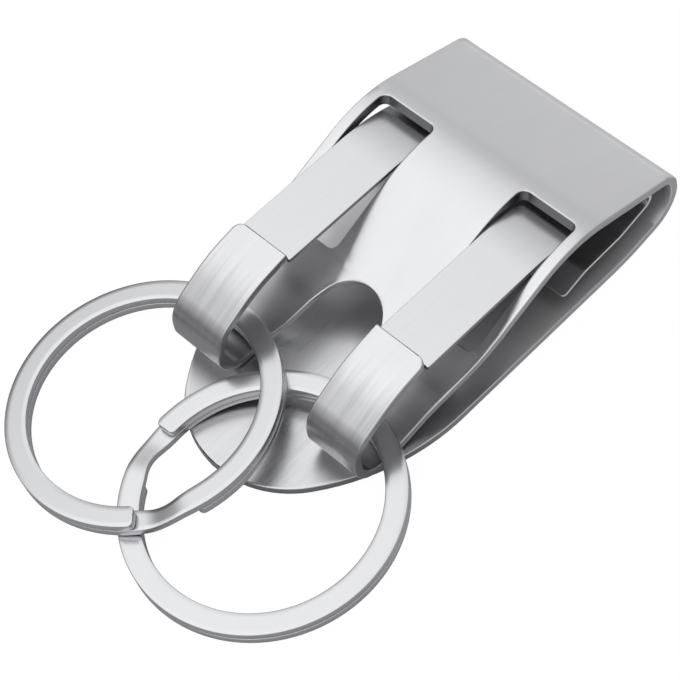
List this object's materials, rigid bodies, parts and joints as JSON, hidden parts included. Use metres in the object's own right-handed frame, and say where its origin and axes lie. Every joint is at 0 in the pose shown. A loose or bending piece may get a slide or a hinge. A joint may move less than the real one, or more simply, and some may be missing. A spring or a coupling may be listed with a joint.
{
  "type": "belt key clip",
  "caption": "Folded stainless belt clip for keys: a round-ended back plate, a windowed front plate with curled hooks, sprung gates, a belt spring and a flat split ring in each hook",
  "frame": {"origin": "middle of the flat back face of the back plate, which is the face that goes against the wearer", "axes": "+Y runs from the rounded nose to the fold, +Z from the back plate to the front plate, +X to the right hook"},
  "size_m": [0.0504, 0.076, 0.0136],
  "materials": {
    "body_sheet": "satin brushed stainless sheet",
    "gate_sheet": "smooth rolled spring sheet",
    "leaf_sheet": "smooth rolled spring sheet",
    "ring_wire": "bright flat wire"
  },
  "bodies": {
    "clip": {"clip_body": "body_sheet", "gate_spring_seat": "gate_sheet", "belt_spring_seat": "leaf_sheet"},
    "left_gate_finger": {"left_gate": "gate_sheet"},
    "right_gate_finger": {"right_gate": "gate_sheet"},
    "belt_leaf": {"belt_spring_leaf": "leaf_sheet"},
    "left_ring": {"left_split_ring": "ring_wire"},
    "right_ring": {"right_split_ring": "ring_wire"}
  },
  "joints": [
    {"name": "left_gate_flex", "type": "hinge", "parent": "clip", "child": "left_gate_finger", "pos_m": [-0.0105, 0.01977, 0.01052], "axis": [1, 0, 0], "range_deg": [0, 10], "stiffness_Nm_per_rad": 0.6},
    {"name": "right_gate_flex", "type": "hinge", "parent": "clip", "child": "right_gate_finger", "pos_m": [0.0105, 0.01977, 0.01052], "axis": [1, 0, 0], "range_deg": [0, 10], "stiffness_Nm_per_rad": 0.6},
    {"name": "belt_leaf_flex", "type": "hinge", "parent": "clip", "child": "belt_leaf", "pos_m": [0, 0.0304, 0.00799], "axis": [-1, 0, 0], "range_deg": [0, 10], "stiffness_Nm_per_rad": 0.8},
    {"name": "right_ring_swing", "type": "hinge", "parent": "clip", "child": "right_ring", "pos_m": [0, -0.0093, 0.0051], "axis": [-1, 0, 0], "range_deg": [0, 90]},
    {"name": "left_ring_swing", "type": "hinge", "parent": "clip", "child": "left_ring", "pos_m": [0, -0.0093, 0.0051], "axis": [-1, 0, 0], "range_deg": [0, 90]}
  ],
  "couplings": [
    {"joint": "left_ring_swing", "follows": "right_ring_swing", "ratio": 1}
  ]
}
